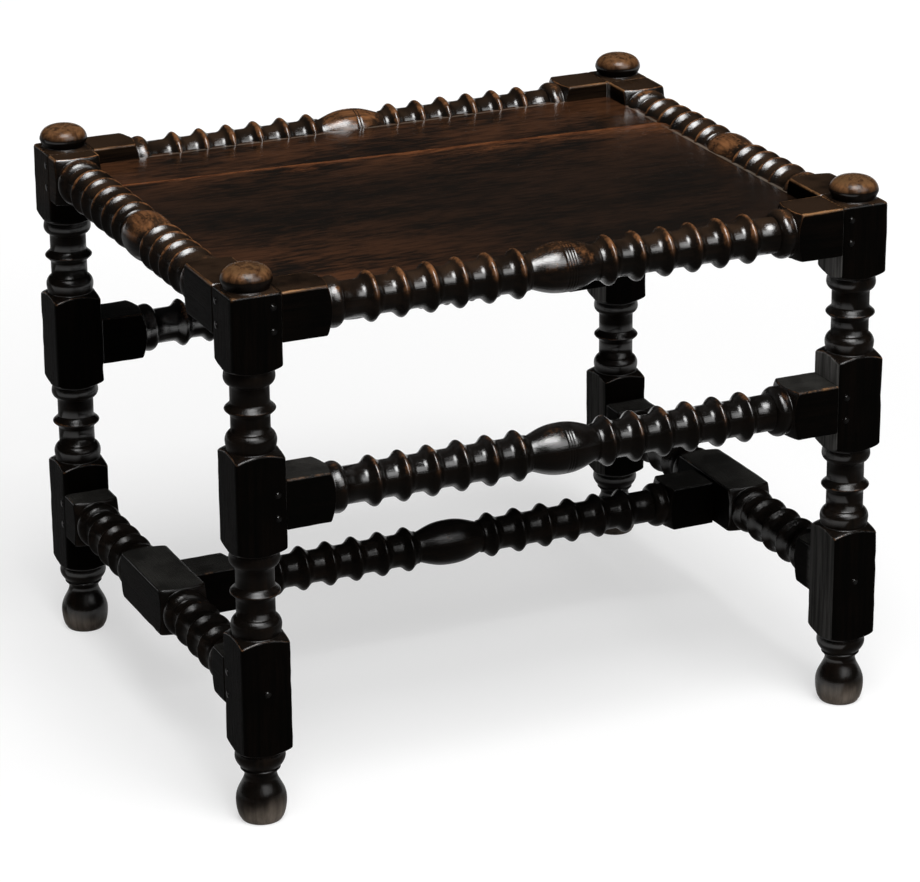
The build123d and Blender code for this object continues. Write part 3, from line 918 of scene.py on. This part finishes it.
def makeBoard(node, front, seed):
    mesh = boardMesh(node, front, seed)
    for name, kind in (("memberCoord", "FLOAT_VECTOR"), ("worn", "FLOAT"), ("warm", "FLOAT")):
        mesh.attributes.new(name, kind, "POINT")
    coordinate, worn, warm = (mesh.attributes[name].data for name in ("memberCoord", "worn", "warm"))
    cornerX, cornerY, reachX, reachY = seat["warmCorner"]
    glow, glowReach = seat["glow"]
    warmth, warmReach = seat["warmJoint"]
    for i, vertex in enumerate(mesh.vertices):
        x, y, z = vertex.co
        coordinate[i].vector = (y + seed * 0.31, z, x * seat["stretch"] + seed * 0.17)
        x, y = x / mm, y / mm
        gap = abs(y - jointAt(x))
        along = min(1.0, max(0.0, (x - seat["alongFrom"]) / seat["alongReach"]))
        line = math.exp(-(gap / seat["line"][0 if front else 1]) ** 2)
        if front:
            corner = math.hypot((x - cornerX) / reachX, (y - cornerY) / reachY)
            worn[i].value = line + glow * math.exp(-gap / glowReach) * (0.6 + 0.4 * along)
            warm[i].value = (0.1 + 0.7 * math.exp(-corner ** 2)
                             + warmth * math.exp(-gap / warmReach) * (0.55 + 0.45 * along))
        else:
            worn[i].value = line + seat["backGlow"] * (0.6 + 0.4 * along)
            warm[i].value = seat["backWarm"]
    mesh.set_sharp_from_angle(angle=math.radians(seat["sharpAngle"]))
    mesh.materials.append(seatWood)
    finishPiece(mesh, node + "_look", [node])


makeBoard("seat_board_front", True, 1)
makeBoard("seat_board_back", False, 2)
print("seat boards laid")


# pegs: heads that are not quite round, a little proud of the wood

pegs = {"radius": 3.0, "depth": 5.0, "proud": 0.3, "sides": 12, "seed": 7, "inset": 7.5, "apart": 18,
        "headRadius": 2.9, "worn": 0.4, "narrowest": 0.9, "sunkUnder": 0.4}


def makePegTree():
    tree, given = newGroup("pegHeads", "GeometryNodeTree", {
        "Places": "Geometry", "Radius": 0.003, "Depth": 0.005, "Proud": 0.0003, "Seed": 7, "Wood": "Material",
    }, {"Pegs": "Geometry"})
    rod = nodeValue(tree, "GeometryNodeMeshCylinder", "Mesh", {
        "Vertices": pegs["sides"], "Side Segments": 4, "Fill Segments": 3, "Radius": given["Radius"],
        "Depth": given["Depth"]})
    position = nodeValue(tree, "GeometryNodeInputPosition", 0)
    x, y, z = splitVector(tree, position)
    share = vectorLength(tree, joinVector(tree, x, y, 0.0)) / given["Radius"]
    drop = share ** 3.0 * (given["Proud"] * -1.0) * z.calc("GREATER_THAN", 0.0)
    sink = given["Proud"] - given["Depth"] / 2.0
    shaped = rod.through("GeometryNodeSetPosition", {"Offset": joinVector(tree, 0.0, 0.0, drop + sink)})
    outward = meshAttribute(tree, "outward", "FLOAT_VECTOR")
    aligned = nodeValue(tree, "FunctionNodeAlignRotationToVector", 0, {"Vector": outward}, axis="Z")

    def chance(low, high):
        return nodeValue(tree, "FunctionNodeRandomValue", "Value", {
            "Min": low, "Max": high, "Seed": given["Seed"]}, data_type="FLOAT")

    marked = storeAttributes(given["Places"], {"pegMiddle": ("FLOAT_VECTOR", position)})
    onPoints = nodeValue(tree, "GeometryNodeInstanceOnPoints", 0, {
        "Points": marked, "Instance": shaped, "Rotation": aligned,
        "Scale": joinVector(tree, chance(pegs["narrowest"], 1.0), 1.0, 1.0)})
    turned = nodeValue(tree, "GeometryNodeRotateInstances", 0, {
        "Instances": onPoints, "Rotation": joinVector(tree, 0.0, 0.0, chance(0.0, 6.28))})
    head = vectorCalc(tree, "SUBTRACT", position, meshAttribute(tree, "pegMiddle", "FLOAT_VECTOR"))
    head = vectorCalc(tree, "DIVIDE", head, [pegs["headRadius"] * mm] * 3)
    flow = turned.through("GeometryNodeRealizeInstances")
    flow = storeAttributes(flow, {"memberCoord": ("FLOAT_VECTOR", position), "head": ("FLOAT_VECTOR", head),
                                  "worn": ("FLOAT", pegs["worn"])})
    flow = flow.through("GeometryNodeSetShadeSmooth")
    return closeGroup(tree, {"Pegs": flow.through("GeometryNodeSetMaterial", {"Material": given["Wood"]})})


def pegPlaces():  # where each peg's head is, and which way it faces
    halfSquare = legs["square"] / 2 * mm
    outX, outY = legBackRight.x + halfSquare, legBackRight.y + halfSquare
    inX, inY = (innerX + pegs["inset"]) * mm, (innerY + pegs["inset"]) * mm
    top, middle, low = (boxMiddle(node).z for node in ("pegs_long_rails", "pegs_middle_stretchers",
                                                       "pegs_low_stretchers"))
    centreLow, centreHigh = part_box("pegs_centre_stretcher")
    places = []
    for sideX in (-1, 1):
        for sideY in (-1, 1):
            for lift in (-pegs["apart"] / 2 * mm, pegs["apart"] / 2 * mm):
                places.append(((sideX * inX, sideY * outY, top + lift), (0, sideY, 0)))
                places.append(((sideX * outX, sideY * inY, top + lift), (sideX, 0, 0)))
                places.append(((sideX * inX, sideY * outY, middle + lift), (0, sideY, 0)))
                places.append(((sideX * outX, sideY * inY, low + lift), (sideX, 0, 0)))
        places.append(((sideX * legBackRight.x, -outY, boxMiddle("pins_front_legs").z), (0, -1, 0)))
        across = (centreLow.x + centreHigh.x) / 2 + sideX * (centreHigh.x - pegs["radius"] * mm)
        places.append(((across, 0, centreLow.z + pegs["sunkUnder"] * mm), (0, 0, -1)))
    return places


def makePegs():
    places = pegPlaces()
    mesh = bpy.data.meshes.new("pegPlaces")
    mesh.from_pydata([place for place, outward in places], [], [])
    layer = mesh.attributes.new("outward", "FLOAT_VECTOR", "POINT")
    for i, (place, outward) in enumerate(places):
        layer.data[i].vector = outward
    made = treeToMesh(bpy.data.objects.new("pegPlaces", mesh), makePegTree(), {
        "Radius": pegs["radius"] * mm, "Depth": pegs["depth"] * mm, "Proud": pegs["proud"] * mm,
        "Seed": pegs["seed"], "Wood": pegWood})
    finishPiece(made, "pegs_look", ["pegs_long_rails", "pegs_short_rails", "pegs_middle_stretchers",
                "pegs_low_stretchers", "pegs_centre_stretcher", "pins_front_legs"])


makePegs()
print("pegs driven")


# floor, lights and camera

studio = {
    "floorColour": (0.42, 0.42, 0.42), "floorGlow": (0.6, 1.8, 0.58, 0.72), "floorSize": 30.0,
    "world": 0.015, "worldColour": (1.0, 0.99, 0.98),
    "sun": 0.65, "sunAngle": 80, "sunAzimuth": 0, "sunElevation": 80, "boxDistance": 6.0, "boxAim": 0.25,
    # each box: azimuth, elevation, width, height, radiance
    "boxes": {"window": (14, 37, 5.0, 3.0, 2.7), "overhead": (-9, 64, 3.2, 3.0, 10.0)},
}


def makeFloor():
    mesh = bpy.data.meshes.new("floor")
    half = studio["floorSize"] / 2
    corners = [(-half, -half, 0), (half, -half, 0), (half, half, 0), (-half, half, 0)]
    mesh.from_pydata(corners, [], [(0, 1, 2, 3)])
    floor = bpy.data.objects.new("floor", mesh)
    bpy.context.scene.collection.objects.link(floor)
    paper = bpy.data.materials.new("palePaper")
    paper.use_nodes = True
    tree = paper.node_tree
    path = tree.nodes.new("ShaderNodeLightPath")
    seen, glossy, through = (Value(tree, path.outputs[f"Is {kind} Ray"]) for kind in (
        "Camera", "Glossy", "Transmission"))
    away = vectorLength(tree, nodeValue(tree, "ShaderNodeTexCoord", "Object"))
    glow = seen.atLeast(glossy).atLeast(through) * away.between(*studio["floorGlow"])
    for key, value in {"Base Color": studio["floorColour"], "Roughness": 0.9, "Specular IOR Level": 0.1,
                       "Emission Strength": glow, "Emission Color": (1, 1, 1)}.items():
        connect(tree, value, tree.nodes["Principled BSDF"].inputs[key])
    mesh.materials.append(paper)


def directionOf(azimuth, elevation):  # azimuth 0 is in front of the stool, and 90 on its right
    turn, lift = math.radians(azimuth), math.radians(elevation)
    return Vector((math.sin(turn) * math.cos(lift), -math.cos(turn) * math.cos(lift), math.sin(lift)))


def hangLamp(name, kind, direction):
    lamp = bpy.data.lights.new(name, kind)
    holder = bpy.data.objects.new(name, lamp)
    holder.rotation_euler = direction.to_track_quat("Z", "Y").to_euler()
    bpy.context.scene.collection.objects.link(holder)
    return lamp, holder


def makeLights():
    for name, (azimuth, elevation, width, height, radiance) in studio["boxes"].items():
        direction = directionOf(azimuth, elevation)
        lamp, holder = hangLamp(name, "AREA", direction)
        holder.location = Vector((0, 0, studio["boxAim"])) + direction * studio["boxDistance"]
        lamp.shape = "RECTANGLE"
        lamp.size, lamp.size_y = width, height
        lamp.energy = radiance * math.pi * width * height
    lamp, holder = hangLamp("sky", "SUN", directionOf(studio["sunAzimuth"], studio["sunElevation"]))
    lamp.energy = studio["sun"]
    lamp.angle = math.radians(studio["sunAngle"])
    holder.visible_glossy = False  # only the boxes show in the polish
    world = bpy.data.worlds.new("studioAir")
    world.use_nodes = True
    air = world.node_tree.nodes["Background"]
    connect(world.node_tree, studio["worldColour"], air.inputs["Color"])
    connect(world.node_tree, studio["world"], air.inputs["Strength"])
    bpy.context.scene.world = world


viewpoint = {"place": (-1.1539, -2.5667, 1.2544), "azimuth": -24.35, "elevation": 20.72, "roll": -0.48,
             "lens": 148.66, "sensor": 36, "farEnd": 50}


def makeCamera():
    camera = bpy.data.cameras.new("camera")
    camera.lens = viewpoint["lens"]
    camera.sensor_width = viewpoint["sensor"]
    camera.sensor_fit = "HORIZONTAL"
    camera.clip_end = viewpoint["farEnd"]
    holder = bpy.data.objects.new("camera", camera)
    back = directionOf(viewpoint["azimuth"], viewpoint["elevation"])
    right = Vector((0, 0, 1)).cross(back).normalized()
    up = back.cross(right)
    turn = math.radians(viewpoint["roll"])
    rightTurned = right * math.cos(turn) + up * math.sin(turn)
    upTurned = up * math.cos(turn) - right * math.sin(turn)
    facing = Matrix((rightTurned, upTurned, back)).transposed().to_4x4()
    holder.matrix_world = Matrix.Translation(viewpoint["place"]) @ facing
    bpy.context.scene.collection.objects.link(holder)
    bpy.context.scene.camera = holder


makeFloor()
makeLights()
makeCamera()
bpy.context.scene.view_settings.view_transform = "Standard"
print("studio set")
